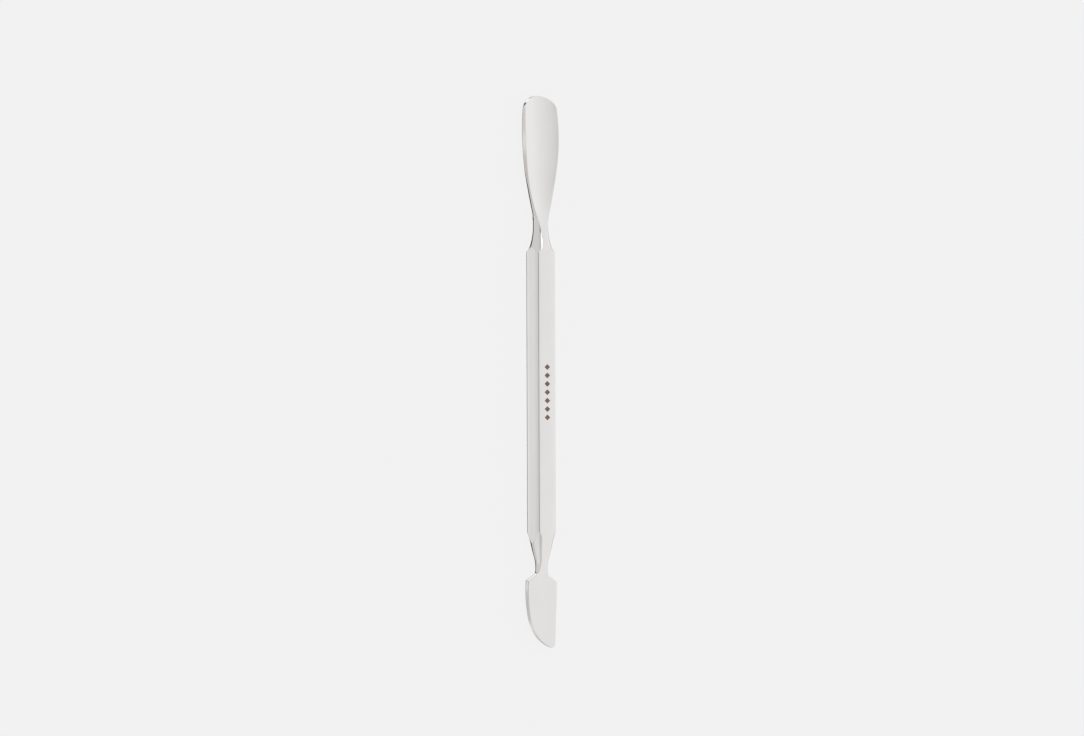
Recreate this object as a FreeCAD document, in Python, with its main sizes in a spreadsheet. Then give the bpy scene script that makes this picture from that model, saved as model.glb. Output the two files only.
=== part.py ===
"""Double-ended cuticle pusher: a square bar with a cupped pusher head and a cleaner blade head.

Millimetres. +X runs along the bar towards the pusher, +Z is the front (the hollow side of the
pusher), and the tool lies on the back of its bar at Z = 0. The origin is under the middle of the
tool. Each head is drawn in its own frame: its seam with the bar is at x = 0, the bar's axis is
the x axis, and x grows towards the tip of the head.
"""
import FreeCAD, Part
import math
import os

import Sketcher
from FreeCAD import Placement, Rotation, Vector

DIMENSIONS = {
    # whole tool
    "overall_length": 125.0,
    "across_flats": 5.0,
    "corner_radius": 0.5,
    # round joints between the bar and its heads
    "tang_diameter": 3.0,
    "tang_length": 8.5,
    "tang_chamfer": 0.3,
    "bore_depth": 9.0,
    "drill_point_length": 0.9,
    # turned blanks of the heads
    "blank_radius": 3.6,
    "pusher_heel_radius": 2.6,
    "pusher_heel_place": 3.4,
    "pusher_shoulder_radius": 14.5,
    "pusher_neck_radius": 1.7,
    "pusher_neck_place": 8.1,
    "pusher_neck_end": 11.5,
    "blade_heel_radius": 12.7,
    "blade_heel_place": 5.5,
    "blade_shoulder_radius": 64.0,
    "blade_shoulder_end": 8.84,
    "blade_neck_blend": 8.4,
    "blade_neck_radius": 1.415,
    "blade_neck_place": 11.08,
    "blade_neck_end": 14.0,
    "flats_length": 7.0,
    # plan outline of the pusher
    "pusher_reach": 37.6,
    "pusher_root_place": 8.1,
    "pusher_root_half_width": 1.08,
    "pusher_widest_place": 29.2,
    "pusher_half_width": 4.6,
    "pusher_side_radius": 62.0,
    "pusher_corner_radius": 2.5,
    "pusher_tip_radius": 5.2,
    "face_start": 0.6,
    "face_step": 3.8,
    "grinding_half_width": 5.4,
    "grinding_clearance": 4.5,
    # plan outline of the blade
    "blade_reach": 29.4,
    "blade_root_place": 11.4,
    "blade_root_half_width": 1.08,
    "blade_root_radius": 2.2,
    "blade_heel_root_radius": 1.5,
    "blade_shoulder_angle": 55.0,
    "blade_heel_angle": 60.0,
    "blade_back_offset": 3.88,
    "blade_back_angle": 1.8,
    "blade_belly_offset": 4.12,
    "blade_belly_place": 16.0,
    "blade_belly_radius": 34.0,
    "blade_nose_radius": 9.0,
    "blade_tip_radius": 0.8,
    # ground faces of the blade, seen from the side
    "blade_ramp_place": 3.8,
    "blade_ramp_angle": 12.1,
    "blade_ramp_blend": 12.0,
    "blade_face_place": 13.5,
    "blade_face_height": 0.69,
    "blade_face_angle": 0.9,
    # printed mark: a row of lozenges
    "mark_centre": -4.6,
    "mark_count": 7,
    "mark_pitch": 1.9,
    "mark_length": 1.3,
    "mark_width": 1.5,
    "mark_thickness": 0.03,
}

# Sections of the pusher's two ground faces, one at each step along the head: the height of the
# hollow's middle and its cross radius, then the same for the crown of the back.
PUSHER_FACES = [
    (2.80, 200.0, -2.80, 200.0),
    (2.08, 150.0, -2.08, 150.0),
    (1.30, 60.0, -1.30, 80.0),
    (0.58, 8.2, -0.98, 26.0),
    (-0.02, 7.4, -1.02, 19.0),
    (-0.17, 8.6, -1.13, 15.0),
    (-0.17, 9.5, -1.16, 15.5),
    (-0.24, 9.9, -1.22, 17.0),
    (-0.38, 10.0, -1.31, 17.0),
    (-0.64, 9.5, -1.42, 13.5),
    (-0.86, 9.0, -1.50, 12.0),
]
FACE_COLUMNS = ("front", "hollow", "back", "crown")

START, END, CENTRE = 1, 2, 3
ORIGIN_POINT = (-1, 1)
X_AXIS = -1
Y_AXIS = -2


def make_sheet(doc):
    """Fill the spreadsheet: one named cell for each driving dimension."""
    sheet = doc.addObject("Spreadsheet::Sheet", "Dimensions")
    sizes = dict(DIMENSIONS)
    for number, row in enumerate(PUSHER_FACES):
        for column, value in zip(FACE_COLUMNS, row):
            sizes[f"face_{number}_{column}"] = value
    for line, (alias, value) in enumerate(sizes.items(), start=1):
        sheet.set(f"A{line}", alias)
        sheet.set(f"B{line}", str(value))
        sheet.setAlias(f"B{line}", alias)
    doc.recompute()
    return sizes


class Drawing:
    """A sketch on one of its body's origin planes, with its constraints bound to the sheet."""

    def __init__(self, body, name, plane, sizes):
        self.sizes = sizes
        self.sketch = body.newObject("Sketcher::SketchObject", name)
        self.sketch.AttachmentSupport = [(origin_plane(body, plane), "")]
        self.sketch.MapMode = "FlatFace"

    def step(self, number):
        """Move the sketch along its plane's normal to one of the sections' steps."""
        place = self.sizes["face_start"] + number * self.sizes["face_step"]
        self.sketch.AttachmentOffset = Placement(Vector(0, 0, place), Rotation())
        self.sketch.setExpression(".AttachmentOffset.Base.z",
                                  f"Dimensions.face_start + {number} * Dimensions.face_step")

    def line(self, start, end):
        index = self.sketch.addGeometry(Part.LineSegment(Vector(*start, 0), Vector(*end, 0)))
        return (index, START, END)

    def arc(self, centre, start, end, turn):
        """An arc from start to end, turning "left" or "right" round its centre."""
        radius = math.dist(centre, start)
        angles = [math.atan2(point[1] - centre[1], point[0] - centre[0]) for point in (start, end)]
        first, last = angles if turn == "left" else reversed(angles)
        while last <= first:
            last += 2 * math.pi
        circle = Part.Circle(Vector(*centre, 0), Vector(0, 0, 1), radius)
        index = self.sketch.addGeometry(Part.ArcOfCircle(circle, first, last))
        return (index, START, END) if turn == "left" else (index, END, START)

    def join(self, path, smooth):
        """Close a path: each piece meets the next, tangent where its name is in smooth."""
        names = list(path)
        for name, following in zip(names, names[1:] + names[:1]):
            kind = "Tangent" if (name, following) in smooth else "Coincident"
            first, second = path[name], path[following]
            self.sketch.addConstraint(
                Sketcher.Constraint(kind, first[0], first[2], second[0], second[1]))

    def rule(self, kind, *references):
        """A constraint with no size, such as Vertical or Equal."""
        self.sketch.addConstraint(Sketcher.Constraint(kind, *references))

    def size(self, kind, references, formula, value):
        """A constraint whose size is a formula of the sheet's cells."""
        index = self.sketch.addConstraint(Sketcher.Constraint(kind, *references, value))
        for alias in sorted(self.sizes, key=len, reverse=True):
            formula = formula.replace(f"<{alias}>", f"Dimensions.{alias}")
        self.sketch.setExpression(f"Constraints[{index}]", formula)

    def across(self, point, formula, value):
        self.size("DistanceX", (*ORIGIN_POINT, *point), formula, value)

    def up(self, point, formula, value):
        self.size("DistanceY", (*ORIGIN_POINT, *point), formula, value)


def origin_plane(body, role):
    return next(item for item in body.Origin.OriginFeatures if item.Role == role)


def make_body(doc, label):
    body = doc.addObject("PartDesign::Body", label)
    body.Label = label
    return body


def place_body(body, along, turn):
    """Put a body on the bar's axis, at a place along it, turned about the vertical."""
    body.Placement = Placement(Vector(), Rotation(Vector(0, 0, 1), turn))
    body.setExpression(".Placement.Base.x", along)
    body.setExpression(".Placement.Base.z", "Dimensions.across_flats / 2")


def rounded_square(drawing):
    """The bar's section: a square with rounded corners, centred on its axis."""
    half = drawing.sizes["across_flats"] / 2
    radius = drawing.sizes["corner_radius"]
    flat = half - radius
    corners = [(flat, -flat), (flat, flat), (-flat, flat), (-flat, -flat)]
    path = {}
    for number, (x, y) in enumerate(corners):
        turn = math.radians(90 * (number - 1))
        start = (x + radius * math.cos(turn), y + radius * math.sin(turn))
        end = (x - radius * math.sin(turn), y + radius * math.cos(turn))
        next_x, next_y = corners[(number + 1) % 4]
        landing = (next_x - radius * math.sin(turn), next_y + radius * math.cos(turn))
        path[f"corner_{number}"] = drawing.arc((x, y), start, end, "left")
        path[f"side_{number}"] = drawing.line(end, landing)
    drawing.join(path, [(a, b) for a in path for b in path])
    for number in range(1, 4):
        drawing.rule("Equal", path["corner_0"][0], path[f"corner_{number}"][0])
    drawing.size("Radius", (path["corner_0"][0],), "<corner_radius>", radius)
    for number, kind in enumerate(("Vertical", "Horizontal", "Vertical", "Horizontal")):
        drawing.rule(kind, path[f"side_{number}"][0])
    drawing.across((path["side_0"][0], START), "<across_flats> / 2", half)
    drawing.up((path["side_1"][0], START), "<across_flats> / 2", half)
    drawing.across((path["side_2"][0], START), "-<across_flats> / 2", -half)
    drawing.up((path["side_3"][0], START), "-<across_flats> / 2", -half)


def bound_circle(drawing, formula, radius):
    circle = Part.Circle(Vector(), Vector(0, 0, 1), radius)
    index = drawing.sketch.addGeometry(circle)
    drawing.rule("Coincident", index, CENTRE, *ORIGIN_POINT)
    drawing.size("Radius", (index,), formula, radius)


def pad(body, name, drawing, formula, midplane=False):
    feature = body.newObject("PartDesign::Pad", name)
    feature.Profile = drawing.sketch
    feature.setExpression("Length", formula)
    feature.Midplane = midplane
    drawing.sketch.Visibility = False
    return feature


def cut_bore(body, sizes, name, mouth, inwards):
    """A blind drilled bore in one end of the bar, with its drill point."""
    radius = sizes["tang_diameter"] / 2
    depth = sizes["bore_depth"]
    point = sizes["drill_point_length"]
    drawing = Drawing(body, f"{name}_profile", "XY_Plane", sizes)
    corners = [(mouth, 0), (mouth, radius), (mouth + inwards * depth, radius),
               (mouth + inwards * (depth + point), 0)]
    path = {number: drawing.line(corner, corners[(number + 1) % 4])
            for number, corner in enumerate(corners)}
    drawing.join(path, [])
    drawing.rule("Vertical", path[0][0])
    drawing.rule("Horizontal", path[1][0])
    drawing.rule("Horizontal", path[3][0])
    bar = "(<overall_length> - <pusher_reach> - <blade_reach>)"
    if inwards > 0:
        side = ""
        drawing.rule("Coincident", path[0][0], START, *ORIGIN_POINT)
    else:
        side = f"{bar} - "
        drawing.rule("PointOnObject", path[0][0], START, X_AXIS)
        drawing.across((path[0][0], START), bar, mouth)
    drawing.up((path[1][0], START), "<tang_diameter> / 2", radius)
    drawing.across((path[1][0], END), f"{side}<bore_depth>", corners[2][0])
    drawing.across((path[2][0], END), f"{side}(<bore_depth> + <drill_point_length>)", corners[3][0])
    groove = body.newObject("PartDesign::Groove", name)
    groove.Profile = drawing.sketch
    groove.ReferenceAxis = (drawing.sketch, ["H_Axis"])
    groove.Angle = 360.0


def make_bar(doc, sizes):
    """The square bar, with a blind bore in each end for the tangs."""
    body = make_body(doc, "handle_bar")
    section = Drawing(body, "bar_section", "YZ_Plane", sizes)
    rounded_square(section)
    length = "Dimensions.overall_length - Dimensions.pusher_reach - Dimensions.blade_reach"
    pad(body, "bar_blank", section, length)
    end = sizes["overall_length"] - sizes["pusher_reach"] - sizes["blade_reach"]
    cut_bore(body, sizes, "blade_bore", 0.0, 1)
    cut_bore(body, sizes, "pusher_bore", end, -1)
    place_body(body, "Dimensions.blade_reach - Dimensions.overall_length / 2", 0)
    return body


def revolve(body, name, drawing):
    feature = body.newObject("PartDesign::Revolution", name)
    feature.Profile = drawing.sketch
    feature.ReferenceAxis = (drawing.sketch, ["H_Axis"])
    feature.Angle = 360.0
    return feature


def turn_pusher_blank(body, sizes):
    """The pusher's turned shoulder, which sweeps down to its round neck in one hollow arc."""
    blank = sizes["blank_radius"]
    sweep = sizes["pusher_shoulder_radius"]
    neck = sizes["pusher_neck_radius"]
    place = sizes["pusher_neck_place"]
    end = sizes["pusher_neck_end"]
    heel, meet_x = sizes["pusher_heel_radius"], sizes["pusher_heel_place"]
    centre = (place, neck + sweep)
    meet = (meet_x, centre[1] - math.sqrt(sweep ** 2 - (place - meet_x) ** 2))
    heel_centre = point_towards(meet, centre, heel)
    start = heel_centre[0] - math.sqrt(heel ** 2 - (heel_centre[1] - blank) ** 2)
    drawing = Drawing(body, "pusher_turning", "XY_Plane", sizes)
    path = {
        "seam": drawing.line((0, 0), (0, blank)),
        "collar": drawing.line((0, blank), (start, blank)),
        "heel": drawing.arc(heel_centre, (start, blank), meet, "left"),
        "shoulder": drawing.arc(centre, meet, (place, neck), "left"),
        "neck": drawing.line((place, neck), (end, neck)),
        "face": drawing.line((end, neck), (end, 0)),
        "axis": drawing.line((end, 0), (0, 0)),
    }
    drawing.join(path, [("heel", "shoulder"), ("shoulder", "neck")])
    drawing.rule("Vertical", path["seam"][0])
    drawing.rule("Horizontal", path["collar"][0])
    drawing.rule("Horizontal", path["neck"][0])
    drawing.rule("Vertical", path["face"][0])
    drawing.rule("Coincident", path["seam"][0], START, *ORIGIN_POINT)
    drawing.rule("Horizontal", path["axis"][0])
    drawing.up((path["collar"][0], START), "<blank_radius>", blank)
    drawing.size("Radius", (path["heel"][0],), "<pusher_heel_radius>", heel)
    drawing.across((path["heel"][0], path["heel"][2]), "<pusher_heel_place>", meet_x)
    drawing.size("Radius", (path["shoulder"][0],), "<pusher_shoulder_radius>", sweep)
    drawing.across((path["shoulder"][0], CENTRE), "<pusher_neck_place>", place)
    drawing.up((path["neck"][0], START), "<pusher_neck_radius>", neck)
    drawing.across((path["neck"][0], END), "<pusher_neck_end>", end)
    revolve(body, "pusher_turned", drawing)


def turn_blade_blank(body, sizes):
    """The blade's turned shoulder: a long crowned taper that blends into its round neck."""
    blank = sizes["blank_radius"]
    heel, heel_x = sizes["blade_heel_radius"], sizes["blade_heel_place"]
    crown = sizes["blade_shoulder_radius"]
    blend = sizes["blade_neck_blend"]
    neck = sizes["blade_neck_radius"]
    place = sizes["blade_neck_place"]
    end = sizes["blade_neck_end"]
    meet_x = sizes["blade_shoulder_end"]
    blend_centre = (place, neck + blend)
    meet = (meet_x, blend_centre[1] - math.sqrt(blend ** 2 - (place - meet_x) ** 2))
    reach = (crown + blend) / blend
    crown_centre = (place + (meet[0] - place) * reach,
                    blend_centre[1] + (meet[1] - blend_centre[1]) * reach)
    rise = math.sqrt(crown ** 2 - (heel_x - crown_centre[0]) ** 2)
    heel_end = (heel_x, crown_centre[1] + rise)
    heel_centre = point_towards(heel_end, crown_centre, -heel)
    start = heel_centre[0] - math.sqrt(heel ** 2 - (heel_centre[1] - blank) ** 2)
    drawing = Drawing(body, "blade_turning", "XY_Plane", sizes)
    path = {
        "seam": drawing.line((0, 0), (0, blank)),
        "collar": drawing.line((0, blank), (start, blank)),
        "heel": drawing.arc(heel_centre, (start, blank), heel_end, "left"),
        "shoulder": drawing.arc(crown_centre, heel_end, meet, "right"),
        "blend": drawing.arc(blend_centre, meet, (place, neck), "left"),
        "neck": drawing.line((place, neck), (end, neck)),
        "face": drawing.line((end, neck), (end, 0)),
        "axis": drawing.line((end, 0), (0, 0)),
    }
    drawing.join(path, [("heel", "shoulder"), ("shoulder", "blend"), ("blend", "neck")])
    drawing.rule("Vertical", path["seam"][0])
    drawing.rule("Horizontal", path["collar"][0])
    drawing.rule("Horizontal", path["neck"][0])
    drawing.rule("Vertical", path["face"][0])
    drawing.rule("Horizontal", path["axis"][0])
    drawing.rule("Coincident", path["seam"][0], START, *ORIGIN_POINT)
    drawing.up((path["collar"][0], START), "<blank_radius>", blank)
    drawing.size("Radius", (path["heel"][0],), "<blade_heel_radius>", heel)
    drawing.across((path["heel"][0], path["heel"][2]), "<blade_heel_place>", heel_x)
    drawing.size("Radius", (path["shoulder"][0],), "<blade_shoulder_radius>", crown)
    drawing.size("Radius", (path["blend"][0],), "<blade_neck_blend>", blend)
    drawing.across((path["blend"][0], CENTRE), "<blade_neck_place>", place)
    drawing.up((path["neck"][0], START), "<blade_neck_radius>", neck)
    drawing.across((path["neck"][0], END), "<blade_neck_end>", end)
    drawing.across((path["blend"][0], path["blend"][1]), "<blade_shoulder_end>", meet_x)
    revolve(body, "blade_turned", drawing)


def mill_flats(body, sizes, name):
    """Mill the four flats of the bar's section on to a turned blank."""
    drawing = Drawing(body, f"{name}_section", "YZ_Plane", sizes)
    rounded_square(drawing)
    bound_circle(drawing, "<blank_radius> + 1", sizes["blank_radius"] + 1)
    pocket = body.newObject("PartDesign::Pocket", name)
    pocket.Profile = drawing.sketch
    pocket.setExpression("Length", "Dimensions.flats_length")
    pocket.Reversed = True


def add_tang(body, sizes, name):
    """The round tang behind the seam, with a chamfered end."""
    radius = sizes["tang_diameter"] / 2
    length = sizes["tang_length"]
    chamfer = sizes["tang_chamfer"]
    drawing = Drawing(body, f"{name}_profile", "XY_Plane", sizes)
    corners = [(0, 0), (0, radius), (chamfer - length, radius), (-length, radius - chamfer),
               (-length, 0)]
    path = {number: drawing.line(corner, corners[(number + 1) % 5])
            for number, corner in enumerate(corners)}
    drawing.join(path, [])
    drawing.rule("Coincident", path[0][0], START, *ORIGIN_POINT)
    drawing.rule("Vertical", path[0][0])
    drawing.rule("Horizontal", path[1][0])
    drawing.rule("Vertical", path[3][0])
    drawing.rule("Horizontal", path[4][0])
    drawing.up((path[0][0], END), "<tang_diameter> / 2", radius)
    drawing.across((path[1][0], END), "<tang_chamfer> - <tang_length>", chamfer - length)
    drawing.across((path[3][0], START), "-<tang_length>", -length)
    drawing.up((path[3][0], START), "<tang_diameter> / 2 - <tang_chamfer>", radius - chamfer)
    revolve(body, name, drawing)


def pad_pusher_plan(body, sizes):
    """The pusher's plan: hollow root arcs, long crowned sides and a blunt round tip, all tangent."""
    root_x, root_y = sizes["pusher_root_place"], sizes["pusher_root_half_width"]
    side_x, side_y = sizes["pusher_widest_place"], sizes["pusher_half_width"]
    side, reach = sizes["pusher_side_radius"], sizes["pusher_reach"]
    run = side_x - root_x
    rise = root_y - side_y + side
    root = (run ** 2 + rise ** 2 - side ** 2) / (2 * (side - rise))
    corner, tip = sizes["pusher_corner_radius"], sizes["pusher_tip_radius"]
    side_centre = (side_x, side_y - side)
    root_centre = (root_x, root_y + root)
    tip_centre = (reach - tip, 0.0)
    corner_centre = circle_meeting(tip_centre, tip - corner, side_centre, side - corner)
    flare = point_towards(side_centre, root_centre, side)
    corner_start = point_towards(side_centre, corner_centre, side)
    corner_end = point_towards(tip_centre, corner_centre, tip)

    def below(point):
        return (point[0], -point[1])

    drawing = Drawing(body, "pusher_plan", "XY_Plane", sizes)
    path = {
        "left_root": drawing.arc(root_centre, (root_x, root_y), flare, "left"),
        "left_side": drawing.arc(side_centre, flare, corner_start, "right"),
        "left_corner": drawing.arc(corner_centre, corner_start, corner_end, "right"),
        "tip": drawing.arc(tip_centre, corner_end, below(corner_end), "right"),
        "right_corner": drawing.arc(below(corner_centre), below(corner_end), below(corner_start),
                                    "right"),
        "right_side": drawing.arc(below(side_centre), below(corner_start), below(flare), "right"),
        "right_root": drawing.arc(below(root_centre), below(flare), (root_x, -root_y), "left"),
        "root": drawing.line((root_x, -root_y), (root_x, root_y)),
    }
    names = list(path)
    drawing.join(path, list(zip(names[:-2], names[1:-1])))
    drawing.size("Radius", (path["left_side"][0],), "<pusher_side_radius>", side)
    drawing.rule("Equal", path["left_side"][0], path["right_side"][0])
    drawing.size("Radius", (path["left_corner"][0],), "<pusher_corner_radius>", corner)
    drawing.rule("Equal", path["left_corner"][0], path["right_corner"][0])
    drawing.size("Radius", (path["tip"][0],), "<pusher_tip_radius>", tip)
    drawing.across((path["left_side"][0], CENTRE), "<pusher_widest_place>", side_x)
    drawing.up((path["left_side"][0], CENTRE), "<pusher_half_width> - <pusher_side_radius>",
               side_centre[1])
    drawing.rule("Symmetric", path["left_side"][0], CENTRE, path["right_side"][0], CENTRE, X_AXIS)
    tip_point = drawing.sketch.addGeometry(Part.Point(Vector(reach, 0, 0)), True)
    drawing.rule("PointOnObject", tip_point, 1, path["tip"][0])
    drawing.rule("PointOnObject", tip_point, 1, X_AXIS)
    drawing.across((tip_point, 1), "<pusher_reach>", reach)
    drawing.across((path["left_root"][0], path["left_root"][1]), "<pusher_root_place>", root_x)
    drawing.up((path["left_root"][0], path["left_root"][1]), "<pusher_root_half_width>", root_y)
    drawing.across((path["left_root"][0], CENTRE), "<pusher_root_place>", root_x)
    drawing.rule("Symmetric", path["root"][0], START, path["root"][0], END, X_AXIS)
    drawing.across((path["right_root"][0], CENTRE), "<pusher_root_place>", root_x)
    pad(body, "pusher_plate", drawing, "Dimensions.across_flats", midplane=True)


def face_section(body, sizes, number, name, height, radius, side):
    """One section of the space ground away above (side 1) or below (side -1) a curved face."""
    half = sizes["grinding_half_width"]
    clear = side * sizes["grinding_clearance"]
    middle = sizes[f"face_{number}_{height}"]
    bend = sizes[f"face_{number}_{radius}"]
    edge = middle + bend - math.sqrt(bend ** 2 - half ** 2)
    drawing = Drawing(body, f"{name}_{number}", "YZ_Plane", sizes)
    drawing.step(number)
    path = {
        "face": drawing.arc((0, middle + bend), (-half, edge), (half, edge), "left"),
        "right": drawing.line((half, edge), (half, clear)),
        "far": drawing.line((half, clear), (-half, clear)),
        "left": drawing.line((-half, clear), (-half, edge)),
    }
    drawing.join(path, [])
    drawing.rule("Vertical", path["right"][0])
    drawing.rule("Horizontal", path["far"][0])
    drawing.rule("Vertical", path["left"][0])
    drawing.rule("PointOnObject", path["face"][0], CENTRE, Y_AXIS)
    drawing.size("Radius", (path["face"][0],), f"<face_{number}_{radius}>", bend)
    drawing.up((path["face"][0], CENTRE), f"<face_{number}_{height}> + <face_{number}_{radius}>",
               middle + bend)
    drawing.across((path["right"][0], START), "<grinding_half_width>", half)
    drawing.across((path["left"][0], START), "-<grinding_half_width>", -half)
    sign = "" if side > 0 else "-"
    drawing.up((path["far"][0], START), f"{sign}<grinding_clearance>", clear)
    return drawing.sketch


def grind_face(body, sizes, name, height, radius, side):
    """Grind one long face of the pusher, through all its sections."""
    sections = [face_section(body, sizes, number, name, height, radius, side)
                for number in range(len(PUSHER_FACES))]
    loft = body.newObject("PartDesign::SubtractiveLoft", name)
    loft.Profile = sections[0]
    loft.Sections = sections[1:]


def make_pusher(doc, sizes):
    """The pusher head: turned neck, square collar, tang, and a cupped plate with a round tip."""
    body = make_body(doc, "pusher_head")
    turn_pusher_blank(body, sizes)
    mill_flats(body, sizes, "pusher_flats")
    pad_pusher_plan(body, sizes)
    grind_face(body, sizes, "pusher_hollow", "front", "hollow", 1)
    grind_face(body, sizes, "pusher_crown", "back", "crown", -1)
    add_tang(body, sizes, "pusher_tang")
    place_body(body, "Dimensions.overall_length / 2 - Dimensions.pusher_reach", 0)
    return body


def circle_meeting(first, first_radius, second, second_radius):
    """The point at given distances from two centres, on the left of the way between them."""
    gap = math.dist(first, second)
    along = (first_radius ** 2 - second_radius ** 2 + gap ** 2) / (2 * gap)
    aside = math.sqrt(first_radius ** 2 - along ** 2)
    ux, uy = (second[0] - first[0]) / gap, (second[1] - first[1]) / gap
    return (first[0] + along * ux - aside * uy, first[1] + along * uy + aside * ux)


def point_towards(centre, target, radius):
    """The point of a circle in the direction of target."""
    share = radius / math.dist(centre, target)
    return (centre[0] + (target[0] - centre[0]) * share, centre[1] + (target[1] - centre[1]) * share)


def pad_blade_plan(body, sizes):
    """The blade's plan: sloping shoulders, a straight back, and a belly that sweeps to the tip."""
    root_x, root_y = sizes["blade_root_place"], sizes["blade_root_half_width"]
    root = sizes["blade_root_radius"]
    slope = math.radians(sizes["blade_shoulder_angle"])
    heel = math.radians(sizes["blade_heel_angle"])
    lean = math.radians(sizes["blade_back_angle"])
    back_y, belly_y = sizes["blade_back_offset"], -sizes["blade_belly_offset"]
    belly_x, belly = sizes["blade_belly_place"], sizes["blade_belly_radius"]
    nose, tip = sizes["blade_nose_radius"], sizes["blade_tip_radius"]
    tip_x = sizes["blade_reach"] - tip

    flare = (root_x + root * math.sin(slope), root_y + root * (1 - math.cos(slope)))
    back_corner = (flare[0] + (back_y - flare[1]) / math.tan(slope), back_y)
    bend = sizes["blade_heel_root_radius"]
    heel_flare = (root_x + bend * math.sin(heel), -root_y - bend * (1 - math.cos(heel)))
    belly_corner = (heel_flare[0] + (heel_flare[1] - belly_y) / math.tan(heel), belly_y)
    run = (tip_x - back_corner[0] + tip * math.sin(lean)) / math.cos(lean)
    back_end = (back_corner[0] + run * math.cos(lean), back_y - run * math.sin(lean))
    tip_centre = (tip_x, back_end[1] - tip * math.cos(lean))
    belly_centre = (belly_x, belly_y + belly)
    nose_centre = circle_meeting(tip_centre, nose - tip, belly_centre, belly - nose)
    nose_end = point_towards(nose_centre, tip_centre, nose)
    belly_end = point_towards(belly_centre, nose_centre, belly)

    drawing = Drawing(body, "blade_plan", "XY_Plane", sizes)
    path = {
        "back_root": drawing.arc((root_x, root_y + root), (root_x, root_y), flare, "left"),
        "back_shoulder": drawing.line(flare, back_corner),
        "back": drawing.line(back_corner, back_end),
        "tip": drawing.arc(tip_centre, back_end, nose_end, "right"),
        "nose": drawing.arc(nose_centre, nose_end, belly_end, "right"),
        "belly": drawing.arc(belly_centre, belly_end, (belly_x, belly_y), "right"),
        "heel": drawing.line((belly_x, belly_y), belly_corner),
        "belly_shoulder": drawing.line(belly_corner, heel_flare),
        "belly_root": drawing.arc((root_x, -root_y - bend), heel_flare, (root_x, -root_y), "left"),
        "root": drawing.line((root_x, -root_y), (root_x, root_y)),
    }
    drawing.join(path, [("back_root", "back_shoulder"), ("back", "tip"), ("tip", "nose"),
                        ("nose", "belly"), ("belly", "heel"), ("belly_shoulder", "belly_root")])
    drawing.across((path["back_root"][0], path["back_root"][1]), "<blade_root_place>", root_x)
    drawing.up((path["back_root"][0], path["back_root"][1]), "<blade_root_half_width>", root_y)
    drawing.across((path["back_root"][0], CENTRE), "<blade_root_place>", root_x)
    drawing.across((path["belly_root"][0], CENTRE), "<blade_root_place>", root_x)
    drawing.size("Radius", (path["back_root"][0],), "<blade_root_radius>", root)
    drawing.size("Radius", (path["belly_root"][0],), "<blade_heel_root_radius>", bend)
    drawing.rule("Symmetric", path["root"][0], START, path["root"][0], END, X_AXIS)
    drawing.size("Angle", (path["back_shoulder"][0],), "<blade_shoulder_angle> * 1 deg", slope)
    drawing.size("Angle", (path["belly_shoulder"][0],), "180 deg - <blade_heel_angle> * 1 deg",
                 math.pi - heel)
    drawing.up((path["back"][0], START), "<blade_back_offset>", back_y)
    drawing.size("Angle", (path["back"][0],), "-<blade_back_angle> * 1 deg", -lean)
    drawing.size("Radius", (path["tip"][0],), "<blade_tip_radius>", tip)
    drawing.across((path["tip"][0], CENTRE), "<blade_reach> - <blade_tip_radius>", tip_x)
    drawing.size("Radius", (path["nose"][0],), "<blade_nose_radius>", nose)
    drawing.size("Radius", (path["belly"][0],), "<blade_belly_radius>", belly)
    drawing.across((path["heel"][0], START), "<blade_belly_place>", belly_x)
    drawing.up((path["heel"][0], START), "-<blade_belly_offset>", belly_y)
    drawing.rule("Horizontal", path["heel"][0])
    pad(body, "blade_plate", drawing, "Dimensions.across_flats", midplane=True)


def grind_blade(body, sizes):
    """Grind both broad faces of the blade: a ramp down from the collar, then a thin taper."""
    start, ramp = sizes["blade_ramp_place"], math.radians(sizes["blade_ramp_angle"])
    blend = sizes["blade_ramp_blend"]
    face_x, face_y = sizes["blade_face_place"], sizes["blade_face_height"]
    taper = math.radians(sizes["blade_face_angle"])
    clear = sizes["grinding_clearance"]
    end = sizes["blade_reach"] + 1
    centre = (face_x + blend * math.sin(taper), face_y + blend * math.cos(taper))
    foot = (centre[0] - blend * math.sin(ramp), centre[1] - blend * math.cos(ramp))
    head = (start, foot[1] + (foot[0] - start) * math.tan(ramp))
    last = (end, face_y - (end - face_x) * math.tan(taper))
    drawing = Drawing(body, "blade_side", "XZ_Plane", sizes)
    path = {
        "ramp": drawing.line(head, foot),
        "blend": drawing.arc(centre, foot, (face_x, face_y), "left"),
        "face": drawing.line((face_x, face_y), last),
        "far": drawing.line(last, (end, clear)),
        "top": drawing.line((end, clear), (start, clear)),
        "near": drawing.line((start, clear), head),
    }
    drawing.join(path, [("ramp", "blend"), ("blend", "face")])
    drawing.rule("Vertical", path["far"][0])
    drawing.rule("Horizontal", path["top"][0])
    drawing.rule("Vertical", path["near"][0])
    drawing.size("Radius", (path["blend"][0],), "<blade_ramp_blend>", blend)
    drawing.size("Angle", (path["ramp"][0],), "-<blade_ramp_angle> * 1 deg", -ramp)
    drawing.size("Angle", (path["face"][0],), "-<blade_face_angle> * 1 deg", -taper)
    drawing.across((path["face"][0], START), "<blade_face_place>", face_x)
    drawing.up((path["face"][0], START), "<blade_face_height>", face_y)
    drawing.across((path["near"][0], START), "<blade_ramp_place>", start)
    drawing.across((path["far"][0], START), "<blade_reach> + 1", end)
    drawing.up((path["top"][0], START), "<grinding_clearance>", clear)
    pocket = body.newObject("PartDesign::Pocket", "blade_front_face")
    pocket.Profile = drawing.sketch
    pocket.setExpression("Length", "4 * Dimensions.grinding_half_width")
    pocket.Midplane = True
    mirror = body.newObject("PartDesign::Mirrored", "blade_back_face")
    mirror.Originals = [pocket]
    mirror.MirrorPlane = (origin_plane(body, "XY_Plane"), [""])
    body.Tip = mirror


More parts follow.
